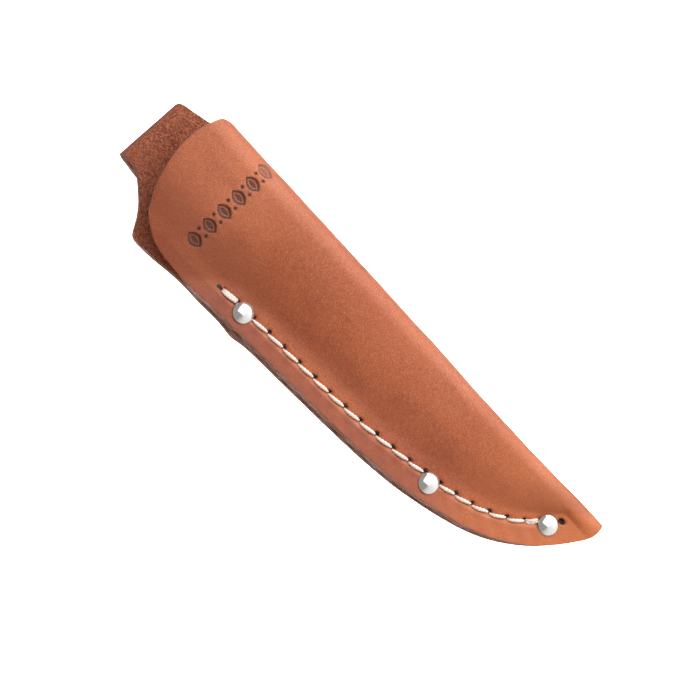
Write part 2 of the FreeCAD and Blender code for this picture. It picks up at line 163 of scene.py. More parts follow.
def smooth_run(points, samples=40):
    """A natural cubic spline through points, as closely spaced points."""
    p = np.array(points, float)
    if len(p) < 3:
        return np.linspace(p[0], p[-1], samples)
    h = np.linalg.norm(np.diff(p, axis=0), axis=1)
    n = len(p)
    system, right = np.eye(n), np.zeros_like(p)
    for i in range(1, n - 1):
        system[i, i - 1:i + 2] = h[i - 1], 2 * (h[i - 1] + h[i]), h[i]
        right[i] = 6 * ((p[i + 1] - p[i]) / h[i] - (p[i] - p[i - 1]) / h[i - 1])
    bend = np.linalg.solve(system, right)
    u = np.linspace(0, 1, samples, endpoint=False)[:, None]
    parts = []
    for i in range(n - 1):
        a = 1 - u
        parts.append(a * p[i] + u * p[i + 1]
                     + h[i] ** 2 / 6 * ((a ** 3 - a) * bend[i] + (u ** 3 - u) * bend[i + 1]))
    return np.vstack(parts + [p[-1:]])


def lengths(line):
    return np.r_[0, np.cumsum(np.linalg.norm(np.diff(line, axis=0), axis=1))]


def along(line, shares):
    """Points at shares (0 to 1) of a line's length."""
    reached = lengths(line)
    goal = np.asarray(shares) * reached[-1]
    return np.stack([np.interp(goal, reached, line[:, k]) for k in range(line.shape[1])], axis=-1)


def placed(points):
    """Millimetres in the maker's frame to metres in the row's frame."""
    return (np.asarray(points, float) - SLOT_CENTRE) * MM


# ---- rolling the blank up --------------------------------------------------------------------------
STITCH_RUN = smooth_run(STITCH_LINE)


def spine_x(z):
    dip = SPINE_DIP * np.exp(-((z - DIP_HEIGHT) / DIP_REACH) ** 2)
    return SPINE_X - dip + TIP_LEAN * eased((22.0 - z) / 16.0)


def bulge(z):
    return MOUTH_BULGE * (np.maximum(z, 0.0) / MOUTH_HEIGHT) ** BULGE_POWER


def arched(t):
    """0 to 1 with flat ends: a short turn up and a long arch over."""
    turned_up = t * t / (t + TURN_UP) * (1 + TURN_UP)
    return 1 - np.maximum(1 - turned_up, 0.0) ** ARCH


def face_line(z):
    """The leather's grain face at height z: level by the seam, over the front, round the spine, level."""
    front = -(STACK + MOUTH_LIFT * eased((z - FIRST_STITCH) / (MOUTH_HEIGHT - FIRST_STITCH)))
    crest = -(STACK + bulge(z))
    stitch = np.interp(z, STITCH_RUN[::-1, 1], STITCH_RUN[::-1, 0])
    beside = min(stitch + FLAT_BESIDE_STITCHES, spine_x(z) - BEND_REACH - 2.5)
    start = beside + (FREE_EDGE_X - beside) * eased((z - STITCHES_END) / 26.0)
    front_reach = BEND_REACH + BEND_GROWTH * bulge(z)
    bend = spine_x(z) - front_reach
    t = np.linspace(0, 1, 160)
    rise = np.stack([start + (bend - start) * t, front + (crest - front) * arched(t)], 1)
    a = np.pi * (0.5 - t)
    reach = np.where(a > 0, front_reach, BACK_REACH + BACK_GROWTH * bulge(z))
    fold = np.stack([spine_x(z) - reach * (1 - np.cos(a)), crest / 2 * (1 + np.sin(a))], 1)
    line = np.vstack([[(-90.0, front)], rise, fold[1:], [(-90.0, 0.0)]])
    reached = lengths(line)
    middle = reached[len(rise)] + (reached[-2] - reached[len(rise)]) / 2
    return line, reached - middle


ROLL_S = np.arange(-S_REACH, S_REACH + S_STEP, S_STEP)
ROLL_X = np.zeros((len(ROLL_HEIGHTS), len(ROLL_S)))
ROLL_Y = np.zeros_like(ROLL_X)
for row, height in enumerate(ROLL_HEIGHTS):
    face, reached_s = face_line(height)
    ROLL_X[row] = np.interp(ROLL_S, reached_s, face[:, 0])
    ROLL_Y[row] = np.interp(ROLL_S, reached_s, face[:, 1])


def rolled(s, z):
    """Flat blank (s across from the spine, z up) to x and y on the grain face of the rolled-up pouch."""
    a = np.clip((s + S_REACH) / S_STEP, 0, len(ROLL_S) - 1.001)
    b = np.clip(z - ROLL_HEIGHTS[0], 0, len(ROLL_HEIGHTS) - 1.001)
    i, j = a.astype(int), b.astype(int)
    fa, fb = a - i, b - j
    result = []
    for table in (ROLL_X, ROLL_Y):
        low = table[j, i] * (1 - fa) + table[j, i + 1] * fa
        high = table[j + 1, i] * (1 - fa) + table[j + 1, i + 1] * fa
        result.append(low * (1 - fb) + high * fb)
    return result


def unrolled(line, side):
    """Points (x, z) on the front (side -1) or back (side 1) panel to (s, z) on the flat blank."""
    half = ROLL_S <= 0 if side < 0 else ROLL_S >= 0
    flat = []
    for x, z in line:
        row = min(max(z - ROLL_HEIGHTS[0], 0), len(ROLL_HEIGHTS) - 1.001)
        k, f = int(row), row - int(row)
        across = ROLL_X[k, half] * (1 - f) + ROLL_X[k + 1, half] * f
        s = ROLL_S[half]
        order = slice(None) if side < 0 else slice(None, None, -1)
        flat.append((np.interp(x, across[order], s[order]), z))
    return np.array(flat)


def steps_in(width, columns):
    """Distances in from the outline: one wide step, an even fine margin, and the rest up to the spine."""
    squeeze = min(1.0, width / NARROW)
    margin = [EDGE_STEP + MARGIN_STEP * k for k in range(MARGIN_COLUMNS + 1)]
    inner = np.linspace(margin[-1] * squeeze, width, columns - MARGIN_COLUMNS)[1:]
    return np.r_[0.0, np.array(margin) * squeeze, inner] / width


def row_shares():
    """Shares of the way up for the grid's rows, closer together under the pressed ornaments."""
    bottom, top = 5.0, 165.0
    heights, z = [bottom, bottom + EDGE_STEP], bottom + EDGE_STEP
    while z < top - EDGE_STEP - 0.7:
        z += 0.4 if abs(z - STAMP_Z) < STAMP_HALF_BAND else 0.7
        heights.append(z)
    heights += [top - EDGE_STEP, top]
    return (np.array(heights) - bottom) / (top - bottom)


def half_blank(side, side_line, top_at, columns):
    """Half of the flat blank as a grid of (s, z): rows from the tip up, columns from the outline in to
    the spine. top_at gives the top edge at shares of the way in."""
    rows = row_shares()
    outer = along(side_line, rows)
    tip = unrolled(smooth_run(TIP_END), side)
    tip[-1, 0] = 0.0
    spine = np.stack([np.zeros(len(rows)), tip[-1, 1] + rows * (NOTCH[0][1] - tip[-1, 1])], 1)
    grid = np.zeros((len(rows), columns + 1, 2))
    for i, v in enumerate(rows):
        u = steps_in(np.linalg.norm(spine[i] - outer[i]), columns)[:, None]
        low, high = along(tip, u[:, 0]), top_at(u[:, 0])
        corners = ((1 - u) * (1 - v) * low[0] + u * (1 - v) * low[-1]
                   + (1 - u) * v * high[0] + u * v * high[-1])
        grid[i] = (1 - u) * outer[i] + u * spine[i] + (1 - v) * low + v * high - corners
    return grid


def front_grid():
    side = unrolled(np.vstack([smooth_run(SEAM_EDGE), smooth_run(MOUTH_SIDE)[1:]]), -1)
    top = unrolled(smooth_run(MOUTH_TOP), -1)
    top[-1, 0] = 0.0
    return half_blank(-1, side, lambda u: along(top, u), FRONT_COLUMNS)


def back_grid():
    """Back half and the last of the columns that run on up the strap."""
    side = unrolled(np.vstack([smooth_run(SEAM_EDGE), smooth_run(SHOULDER_EDGE)[1:],
                               smooth_run(SHOULDER_CORNER)[1:], smooth_run(SHOULDER_CURVE)[-2::-1]]), 1)
    notch = smooth_run(NOTCH)
    notch[:, 0] += STRAP_FLARE * eased((notch[:, 1] - NOTCH[0][1]) / (STRAP_BASE - NOTCH[0][1]))
    base = unrolled(np.array([(STRAP_LEFT, STRAP_BASE), notch[-1]]), 1)
    notch = unrolled(notch[::-1], 1)
    notch[-1, 0] = 0.0
    shares = steps_in(np.linalg.norm(side[-1] - notch[-1]), BACK_COLUMNS)
    last = int(np.argmin(abs(shares - 0.6)))

    def top_at(u):
        on_strap = u <= shares[last] + 1e-9
        result = np.zeros((len(u), 2))
        result[on_strap] = along(base, u[on_strap] / shares[last])
        result[~on_strap] = along(notch, (u[~on_strap] - shares[last]) / (1 - shares[last]))
        return result

    return half_blank(1, side, top_at, BACK_COLUMNS), last


# ---- stitches --------------------------------------------------------------------------------------
def seam_distances():
    steps = [LONG_PITCH] * LONG_STITCHES + [SHORT_PITCH] * (SEAM_STITCHES - LONG_STITCHES - 1)
    return np.r_[0, np.cumsum(steps + [LAST_STITCH, EMPTY_HOLE])]


SEAM_DISTANCES = seam_distances()
STITCH_LENGTHS = lengths(STITCH_RUN)


def seam_point(index):
    """(x, z) on the stitch line at a hole number, which may lie between two holes."""
    d = np.interp(index, range(len(SEAM_DISTANCES)), SEAM_DISTANCES)
    return np.array([np.interp(d, STITCH_LENGTHS, STITCH_RUN[:, k]) for k in range(2)])


def seam_places(x, z):
    """For each point, the hole number it lies beside and how far it is inside the stitch line."""
    close = STITCH_RUN[::4]
    at = STITCH_LENGTHS[::4]
    index, inside = np.zeros(len(x)), np.zeros(len(x))
    for start in range(0, len(x), 4000):
        part = slice(start, start + 4000)
        dx = x[part, None] - close[None, :, 0]
        dz = z[part, None] - close[None, :, 1]
        near = np.argmin(dx ** 2 + dz ** 2, axis=1)
        k = np.clip(near, 1, len(close) - 2)
        t = close[k + 1] - close[k - 1]
        t /= np.linalg.norm(t, axis=1)[:, None]
        rows = np.arange(len(near))
        ahead = dx[rows, k] * t[:, 0] + dz[rows, k] * t[:, 1]
        inside[part] = -dx[rows, k] * t[:, 1] + dz[rows, k] * t[:, 0]
        index[part] = np.interp(at[k] + ahead, SEAM_DISTANCES, range(len(SEAM_DISTANCES)),
                                left=-1.0, right=len(SEAM_DISTANCES))
    return index, inside


# ---- surface detail --------------------------------------------------------------------------------
def flat_noise(x, z, size, seed):
    """Smooth noise between -1 and 1 with features of about the given size, in millimetres."""
    return np.array([noise.noise(Vector((a / size, b / size, seed))) for a, b in zip(x, z)])


def ornament_depth(x, z):
    """Depth of the row of pressed ornaments, from 0 to 1: pointed leaves, pairs of dots between them."""
    reach = np.abs(z - STAMP_Z)
    cell = (x - STAMP_START) / STAMP_PITCH
    number = np.floor(cell)
    off = (cell - number - 0.5) * STAMP_PITCH
    dot_cell = cell + 0.5
    dot_off = (dot_cell - np.floor(dot_cell) - 0.5) * STAMP_PITCH
    leaf = 1 - np.abs(off) / STAMP_LEAF[0] - (reach / STAMP_LEAF[1]) ** 2
    dot = 1 - np.hypot(dot_off, reach - STAMP_DOT_RISE) / STAMP_DOT
    leaf = np.where((number >= 0) & (number < STAMP_COUNT), leaf, -1)
    dot = np.where((dot_cell >= 1) & (dot_cell < STAMP_COUNT), dot, -1)
    return eased(np.maximum(leaf * 3.0, dot * 1.6))


def stitch_marks(index, inside):
    """Depth of what the sewing leaves along the seam: a groove, a hollow beside it, slits and puckers."""
    ahead = (index + 0.5 - np.floor(index + 0.5) - 0.5) * LONG_PITCH
    near_hole = np.exp(-(ahead / 1.2) ** 2)
    sewn = eased((index + 0.45) / 0.4) * eased((SEAM_STITCHES + 0.5 - index) / 0.4)
    groove = np.exp(-((inside + 0.1) / 0.85) ** 2) * (GROOVE + HOLE_PULL * near_hole)
    hollow = HOLLOW * np.exp(-((inside - 0.6) / 2.4) ** 2)
    lip = LIP * np.exp(-((inside + 1.75) / 0.8) ** 2) * (1 - 0.65 * near_hole)
    slit = SLIT * np.exp(-((ahead / 0.8) ** 2 + ((inside - 0.55) / 0.62) ** 2) ** 2)
    pucker = PUCKER * np.exp(-((inside + 4.2) / 2.0) ** 2) * np.cos(2 * np.pi * index)
    return sewn * (groove + hollow + lip + slit + pucker)


def pressed_in(x, z, s):
    """How far the grain face is pushed in by stitches, rivets and ornaments, and the seam places."""
    index, inside = seam_places(x, z)
    depth = stitch_marks(index, inside)
    hole_x, hole_z = seam_point(EMPTY_INDEX)
    far = ((x - hole_x) / 0.85) ** 2 + ((z - hole_z) / 1.05) ** 2
    depth = depth + EMPTY_DEEP * np.exp(-far ** 2)
    for cx, cz in RIVETS.values():
        far = np.hypot(x - cx, z - cz)
        depth = depth + SEAT_DEEP * np.exp(-(far / 4.1) ** 4) * (1 - 0.2 * far / 3.6)
    depth = depth + np.where(s < 0, STAMP_DEEP * ornament_depth(x, z), 0.0)
    return depth, index, inside


def grid_normals(points):
    """Unit normals of a grid of points."""
    down = np.gradient(points, axis=0)
    across = np.gradient(points, axis=1)
    n = np.cross(across, down)
    return n / np.maximum(np.linalg.norm(n, axis=2, keepdims=True), 1e-9)


def edge_swell(z):
    """How far the welt and the back panel bulge out of the edge beside the first stitches."""
    return SWELL * np.exp(-((z - SWELL_HEIGHT) / SWELL_REACH) ** 2)


# ---- mesh helpers ----------------------------------------------------------------------------------
def clear_selection():
    if bpy.context.object and bpy.context.object.mode != "OBJECT":
        bpy.ops.object.mode_set(mode="OBJECT")
    bpy.ops.object.select_all(action="DESELECT")


def make_active(piece):
    clear_selection()
    piece.select_set(True)
    bpy.context.view_layer.objects.active = piece


def grid_piece(name, points, layers=()):
    """A grid primitive laid over rows of points in millimetres. Each layer is a UV map's name and its
    coordinates for every point."""
    rows, columns = points.shape[:2]
    clear_selection()
    bpy.ops.mesh.primitive_grid_add(x_subdivisions=columns - 1, y_subdivisions=rows - 1, size=1.0,
                                    location=(0, 0, 0))
    piece = bpy.context.object
    piece.name = piece.data.name = name
    mesh = piece.data
    mesh.vertices.foreach_set("co", placed(points).astype(np.float32).ravel())
    while mesh.uv_layers:
        mesh.uv_layers.remove(mesh.uv_layers[0])
    corners = np.zeros(len(mesh.loops), int)
    mesh.loops.foreach_get("vertex_index", corners)
    for label, values in layers:
        layer = mesh.uv_layers.new(name=label)
        flat = np.asarray(values, float).reshape(-1, 2)[corners]
        layer.uv.foreach_set("vector", flat.astype(np.float32).ravel())
    mesh.update()
    return piece


def in_edit_mode(piece, *steps):
    """Runs edit-mode steps on everything in a piece."""
    make_active(piece)
    bpy.ops.object.mode_set(mode="EDIT")
    bpy.ops.mesh.select_all(action="SELECT")
    for step in steps:
        step()
    bpy.ops.object.mode_set(mode="OBJECT")


def welded():
    bpy.ops.mesh.remove_doubles(threshold=0.00001)


def turned_outward():
    bpy.ops.mesh.normals_make_consistent(inside=False)


def apply_modifier(piece, kind, name, **settings):
    make_active(piece)
    modifier = piece.modifiers.new(name, kind)
    for key, value in settings.items():
        setattr(modifier, key, value)
    bpy.ops.object.modifier_apply(modifier=name)


def joined(name, pieces):
    clear_selection()
    for piece in pieces:
        piece.select_set(True)
    bpy.context.view_layer.objects.active = pieces[0]
    bpy.ops.object.join()
    whole = bpy.context.object
    whole.name = whole.data.name = name
    return whole


def smoothed(piece, angle=40.0):
    make_active(piece)
    bpy.ops.object.shade_smooth_by_angle(angle=math.radians(angle), keep_sharp_edges=False)


def ends_filled():
    bpy.ops.mesh.select_all(action="SELECT")
    bpy.ops.mesh.fill_holes(sides=0)


def dressed(piece, *materials):
    piece.data.materials.clear()
    for material in materials:
        piece.data.materials.append(material)


def handed_over(piece, slot, *nodes):
    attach(piece, "root")
    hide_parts(*nodes)


# ---- materials -------------------------------------------------------------------------------------
def linear(red, green, blue):
    """A colour given as 0-255 display values, in scene-linear light."""
    return tuple(((c / 255 + 0.055) / 1.055) ** 2.4 if c > 10 else c / 255 / 12.92
                 for c in (red, green, blue)) + (1.0,)


class Recipe:
    """A material's node tree, with short calls for the nodes that the finishes are mixed from."""

    def __init__(self, name):
        self.material = bpy.data.materials.new(name)
        self.material.use_nodes = True
        self.tree = self.material.node_tree
        self.tree.nodes.clear()
        self.shader = self.tree.nodes.new("ShaderNodeBsdfPrincipled")
        output = self.tree.nodes.new("ShaderNodeOutputMaterial")
        self.tree.links.new(self.shader.outputs["BSDF"], output.inputs["Surface"])
        self.place = self.tree.nodes.new("ShaderNodeTexCoord").outputs["Object"]

    def put(self, socket, value):
        if isinstance(value, bpy.types.NodeSocket):
            self.tree.links.new(value, socket)
        else:
            socket.default_value = value

    def set(self, **values):
        for name, value in values.items():
            self.put(self.shader.inputs[name.replace("_", " ")], value)

    def math(self, operation, a, b=0.0):
        node = self.tree.nodes.new("ShaderNodeMath")
        node.operation = operation
        self.put(node.inputs[0], a)
        self.put(node.inputs[1], b)
        return node.outputs[0]

    def times(self, first, *others):
        for other in others:
            first = self.math("MULTIPLY", first, other)
        return first

    def plus(self, a, b):
        return self.math("ADD", a, b)

    def minus(self, a, b):
        return self.math("SUBTRACT", a, b)

    def over(self, a, b):
        return self.math("DIVIDE", a, b)

    def between(self, value, low, high, out_low=0.0, out_high=1.0):
        """value from low..high to out_low..out_high with eased ends."""
        node = self.tree.nodes.new("ShaderNodeMapRange")
        node.interpolation_type = "SMOOTHSTEP"
        for socket, v in zip(("Value", "From Min", "From Max", "To Min", "To Max"),
                             (value, low, high, out_low, out_high)):
            self.put(node.inputs[socket], v)
        return node.outputs["Result"]

    def stretched(self, scale, turn=(0, 0, 0)):
        node = self.tree.nodes.new("ShaderNodeMapping")
        self.put(node.inputs["Vector"], self.place)
        node.inputs["Scale"].default_value = scale
        node.inputs["Rotation"].default_value = turn
        return node.outputs["Vector"]

    def noise(self, scale, detail=3.0, rough=0.5, where=None, distortion=0.0):
        node = self.tree.nodes.new("ShaderNodeTexNoise")
        self.put(node.inputs["Vector"], where or self.place)
        node.inputs["Scale"].default_value = scale
        node.inputs["Detail"].default_value = detail
        node.inputs["Roughness"].default_value = rough
        node.inputs["Distortion"].default_value = distortion
        return node.outputs["Fac"]

    def cells(self, scale):
        node = self.tree.nodes.new("ShaderNodeTexVoronoi")
        self.put(node.inputs["Vector"], self.place)
        node.inputs["Scale"].default_value = scale
        return node.outputs["Distance"]

    def mix(self, share, a, b):
        node = self.tree.nodes.new("ShaderNodeMix")
        node.data_type = "RGBA"
        self.put(node.inputs[0], share)
        self.put(node.inputs[6], a)
        self.put(node.inputs[7], b)
        return node.outputs[2]

    def map_pair(self, name):
        """The two coordinates of one of the piece's UV maps."""
        node = self.tree.nodes.new("ShaderNodeUVMap")
        node.uv_map = name
        split = self.tree.nodes.new("ShaderNodeSeparateXYZ")
        self.tree.links.new(node.outputs["UV"], split.inputs[0])
        return split.outputs[0], split.outputs[1]

    def bump(self, height, strength, depth, under=None):
        node = self.tree.nodes.new("ShaderNodeBump")
        node.inputs["Strength"].default_value = strength
        node.inputs["Distance"].default_value = depth
        self.put(node.inputs["Height"], height)
        if under is not None:
            self.tree.links.new(under, node.inputs["Normal"])
        return node.outputs["Normal"]


def ornament_mask(r, x, z):
    """The pressed ornaments again, as nodes, so that their edges stay crisp: each leaf is a rim round a
    seed, and the last ones fade where the stamp met the curve of the spine."""
    reach = r.math("ABSOLUTE", r.minus(z, STAMP_Z))
    cell = r.over(r.minus(x, STAMP_START), STAMP_PITCH)

    def off_centre(shift):
        moved = r.plus(cell, shift)
        part = r.minus(r.math("FRACT", moved), 0.5)
        return r.math("ABSOLUTE", r.times(part, STAMP_PITCH)), moved

    def within(number, low, high):
        return r.times(r.math("GREATER_THAN", number, low), r.math("LESS_THAN", number, high))

    leaf_off, leaf_cell = off_centre(0.0)
    dot_off, dot_cell = off_centre(0.5)
    squared = r.math("POWER", r.over(reach, STAMP_LEAF[1]), 2.0)
    leaf = r.minus(r.minus(1.0, r.over(leaf_off, STAMP_LEAF[0])), squared)
    rise = r.minus(reach, STAMP_DOT_RISE)
    round_off = r.math("SQRT", r.plus(r.math("POWER", dot_off, 2.0), r.times(rise, rise)))
    dot = r.minus(1.0, r.over(round_off, STAMP_DOT))
    rim = r.times(r.between(leaf, 0.0, 0.12), r.between(leaf, 0.50, 0.40))
    leaf = r.math("MAXIMUM", rim, r.between(leaf, 0.62, 0.72))
    leaf = r.times(leaf, within(leaf_cell, 0.0, STAMP_COUNT))
    dot = r.times(r.between(dot, 0.0, 0.4), within(dot_cell, 1.0, STAMP_COUNT))
    return r.times(r.math("MAXIMUM", leaf, dot), r.between(x, -12.0, -3.0, 1.0, 0.55))


def awl_hole_shadow(r, front_x, height, centre, half_x, half_z):
    """Painted shadow in the ragged opening of an awl hole on the front that no thread covers."""
    x = r.over(r.minus(front_x, float(centre[0])), half_x)
    z = r.over(r.minus(height, float(centre[1])), half_z)
    far = r.plus(r.times(x, x), r.times(z, z))
    far = r.plus(far, r.times(r.minus(r.noise(1500.0), 0.5), 1.2))
    return r.between(far, 1.2, 0.8)


def slit_shadow_mask(r, index, inside):
    """Painted shadow in the ends of the awl slits that show beside the thread, ragged at their edges."""
    part = r.minus(r.math("FRACT", r.plus(index, 0.5)), 0.5)
    ahead = r.over(part, 0.125)
    across = r.over(r.minus(inside, 0.50), 0.72)
    far = r.math("SQRT", r.plus(r.times(ahead, ahead), r.times(across, across)))
    far = r.plus(far, r.times(r.minus(r.noise(1500.0), 0.5), 2.2))
    row = r.times(r.math("GREATER_THAN", index, -0.4),
                  r.math("LESS_THAN", index, SEAM_STITCHES + 0.4))
    return r.times(r.between(far, 1.15, 0.8), row)


def clouded_grain(r, colours, mottle, fine, pores):
    """The grain's own colour all over: clouds, streaks, specks and pores."""
    clouds = r.between(r.noise(24.0, 4.0, 0.55), 0.34, 0.68)
    streaks = r.noise(95.0, 4.0, 0.6, r.stretched((1.0, 1.0, 0.35)))
    base = r.mix(clouds, colours.grain_dark, colours.grain_light)
    base = r.mix(r.between(streaks, 0.42, 0.74, 0.0, 0.40), base, colours.deep_grain_and_shade)
    base = r.mix(r.between(mottle, 0.36, 0.68, 0.0, 0.38), base, colours.grain_light)
    base = r.mix(r.between(fine, 0.46, 0.66, 0.0, 0.46), base, colours.deep_grain_and_shade)
    base = r.mix(r.between(fine, 0.50, 0.34, 0.0, 0.34), base, colours.bright_specks_and_highlight)
    return r.mix(r.between(pores, 0.20, 0.05, 0.0, 0.20), base, colours.deep_grain_and_shade)


def seam_tones(r, colours, base, index, inside, height):
    """Pinker leather along the seam's edge, painted shade darkening it from 25 mm up, and a painted
    highlight on the lip beside the thread.
    """
    row = r.times(r.between(index, -2.5, 0.5), r.between(index, SEAM_STITCHES + 0.6, SEAM_STITCHES - 0.4))
    margin = r.times(r.between(inside, -0.6, -2.4), r.between(inside, -16.0, -11.0))
    patches = r.between(r.noise(150.0, 3.0), 0.38, 0.62, 0.15, 0.75)
    base = r.mix(r.times(margin, patches, row), base, colours.margin)
    # painted highlight: the raised lip beside the thread made lighter
    lip = r.times(r.between(inside, -1.9, -1.3), r.between(inside, -0.6, -1.0))
    lip = r.times(lip, r.between(r.noise(260.0, 2.0), 0.40, 0.62))
    base = r.mix(r.times(lip, 0.5, row), base, colours.bright_specks_and_highlight)
    # painted shade: the margin darker higher up the sheath, where less light falls
    darker = r.times(margin, row, r.between(height, 25.0, 65.0, 0.0, 0.42))
    return r.mix(darker, base, colours.deep_grain_and_shade)


def painted_light_and_shade(r, colours, base, index, inside, front_x, height, on_front):
    """Painted shade darkening the front's left side below the mouth, painted light making the leather
    lighter and yellower toward the tip, and painted shade just inside the stitch line.
    """
    # painted shade: the front's left side, which faces away from the key light, made darker
    painted_left_shade = r.between(front_x, -14.0, -40.0, 0.10, 0.46)
    painted_left_shade = r.times(painted_left_shade, r.between(height, 100.0, 140.0), on_front)
    base = r.mix(painted_left_shade, base, colours.deep_grain_and_shade)
    # painted light: lighter, yellower leather toward the tip, where the light falls more brightly
    base = r.mix(r.between(height, 62.0, 8.0, 0.0, 0.42), base, colours.painted_tip_light)
    # painted shade just inside the stitch line, where the front turns away from the light
    band = r.times(r.between(inside, 0.5, 3.5), r.between(inside, 17.0, 6.0))
    band = r.times(band, r.between(index, -6.0, 0.0))
    return r.mix(r.times(band, 0.30), base, colours.deep_grain_and_shade)


def grain_leather(colours):
    """Oiled vegetable-tanned grain: russet with lighter clouds, fine pores, and painted light and shade."""
    r = Recipe("oiled_grain_leather")
    flat_s, flat_z = r.map_pair("blank")
    index, inside = r.map_pair("seam")
    front_x = r.times(r.minus(flat_s, 0.5), MAP_SPAN)
    height = r.times(flat_z, MAP_SPAN)
    on_front = r.math("LESS_THAN", flat_s, 0.5)
    mottle = r.noise(620.0, 3.0, 0.6)
    fine = r.noise(3800.0, 2.0, 0.6, r.stretched((1.0, 1.0, 0.65), (0.0, 0.6, 0.0)))
    pores = r.cells(1700.0)
    base = clouded_grain(r, colours, mottle, fine, pores)
    base = seam_tones(r, colours, base, index, inside, height)
    base = painted_light_and_shade(r, colours, base, index, inside, front_x, height, on_front)
    press = r.times(ornament_mask(r, front_x, height), on_front)
    base = r.mix(r.times(press, 0.86), base, colours.pressed)
    slits = slit_shadow_mask(r, index, inside)
    # painted shadow: near-black in the awl slits beside the thread
    base = r.mix(slits, base, linear(*SLIT_SHADOW))
    # painted shadow in the open last awl hole and beside the first stitch
    first = seam_point(0) + np.array([-0.1, 0.8])
    hole = r.math("MAXIMUM", awl_hole_shadow(r, front_x, height, seam_point(EMPTY_INDEX), 0.85, 1.15),
                  awl_hole_shadow(r, front_x, height, first, 0.62, 1.1))
    base = r.mix(r.times(hole, on_front), base, linear(*HOLE_SHADOW))
    r.set(Base_Color=base, Specular_IOR_Level=0.32, Coat_Weight=0.34, Coat_Roughness=0.38)
    rough = r.between(r.noise(60.0, 3.0), 0.3, 0.7, 0.46, 0.58)
    r.set(Roughness=r.plus(rough, r.times(press, 0.15)))
    grain = r.plus(r.times(fine, 0.7), r.times(mottle, 0.8))
    grain = r.plus(grain, r.times(r.between(pores, 0.0, 0.35), 0.5))
    normal = r.bump(grain, 0.42, 0.00014)
    normal = r.bump(r.times(press, -1.0), 0.9, 0.0004, normal)
    normal = r.bump(r.times(slits, -1.0), 0.9, 0.0006, normal)
    r.set(Normal=normal)
    return r.material


def flesh_leather(colours):
    """The rough inner side: short matted fibres, darker and redder than the grain."""
    r = Recipe("rough_flesh_leather")
    fibres = r.noise(2600.0, 3.0, 0.7, r.stretched((1.0, 1.0, 0.6)), 0.3)
    tufts = r.noise(1500.0, 3.0, 0.6, r.stretched((1.0, 1.0, 0.6)), 0.3)
    clouds = r.noise(40.0, 3.0)
    base = r.mix(r.between(fibres, 0.32, 0.68), colours.flesh_dark, colours.flesh_light)
    base = r.mix(r.between(tufts, 0.48, 0.66, 0.0, 0.6), base, colours.flesh_dark)
    base = r.mix(r.between(clouds, 0.35, 0.70, 0.0, 0.35), base, colours.flesh_light)
    r.set(Base_Color=base, Specular_IOR_Level=0.12, Sheen_Weight=0.05, Sheen_Roughness=0.5)
    r.set(Roughness=r.between(tufts, 0.3, 0.7, 0.82, 0.95))
    height = r.plus(fibres, r.times(tufts, 0.8))
    r.set(Normal=r.bump(height, 1.0, 0.0006))
    return r.material


def cut_edge(name, light, dark):
    """A trimmed edge, rubbed with the burnisher: fine fibres along it, darker in the hollows."""
    r = Recipe(name)
    fibres = r.noise(1500.0, 4.0, 0.65, r.stretched((1.0, 2.6, 0.35)))
    patches = r.noise(130.0, 3.0, 0.55)
    specks = r.cells(1100.0)
    base = r.mix(r.between(fibres, 0.35, 0.66), dark, light)
    base = r.mix(r.between(patches, 0.42, 0.72, 0.0, 0.5), base, dark)
    base = r.mix(r.between(specks, 0.22, 0.04, 0.0, 0.4), base, linear(*BURNISHED))
    r.set(Base_Color=base, Specular_IOR_Level=0.14)
    r.set(Roughness=r.between(patches, 0.3, 0.7, 0.66, 0.84))
    r.set(Normal=r.bump(r.plus(fibres, specks), 0.45, 0.0002))
    return r.material


def waxed_thread(colours):
    """Off-white waxed thread: fine fibres along the plies, painted shade where the plies meet, soiled
    patches.
    """
    r = Recipe("waxed_thread")
    across = r.map_pair("ply")[0]
    fibres = r.noise(5200.0, 3.0, 0.6)
    soil = r.noise(160.0, 3.0)
    base = r.mix(r.between(fibres, 0.3, 0.7, 0.0, 0.4), colours.thread, colours.thread_shade)
    # painted shade in the grooves between the plies
    base = r.mix(r.between(across, 0.75, 0.10, 0.0, 0.85), base, colours.thread_shade)
    base = r.mix(r.between(soil, 0.52, 0.75, 0.0, 0.35), base, linear(*THREAD_SOIL))
    r.set(Base_Color=base, Specular_IOR_Level=0.3, Sheen_Weight=0.12, Sheen_Roughness=0.4)
    r.set(Roughness=r.between(fibres, 0.3, 0.7, 0.62, 0.80))
    r.set(Normal=r.bump(fibres, 0.5, 0.0001))
    return r.material


def nickel_plate(colours):
    """Bright nickel with hairline scratches and dull spots left by the setter."""
    r = Recipe("nickel_plate")
    hairs = r.noise(900.0, 4.0, 0.7, r.stretched((1.0, 0.2, 3.0), (0.3, 0.0, 0.7)))
    dents = r.noise(420.0, 2.0)
    spots = r.noise(1700.0, 2.0)
    base = r.mix(r.between(spots, 0.60, 0.72, 0.0, 0.35), colours.nickel, linear(*DULL_NICKEL))
    r.set(Base_Color=base, Metallic=1.0)
    r.set(Roughness=r.between(hairs, 0.35, 0.75, 0.10, 0.24))
    normal = r.bump(hairs, 0.08, 0.00004)
    r.set(Normal=r.bump(dents, 0.22, 0.00012, normal))
    return r.material


# ---- sizes and colours -----------------------------------------------------------------------------
def colour_setting(label, text, red, green, blue):
    return bpy.props.FloatVectorProperty(name=label, description=text, default=linear(red, green, blue),
                                         size=4, min=0.0, max=1.0, subtype="COLOR")


def length_setting(label, text, millimetres):
    return bpy.props.FloatProperty(name=label, description=text, default=millimetres * MM, min=0.0,
                                   unit="LENGTH", subtype="DISTANCE")


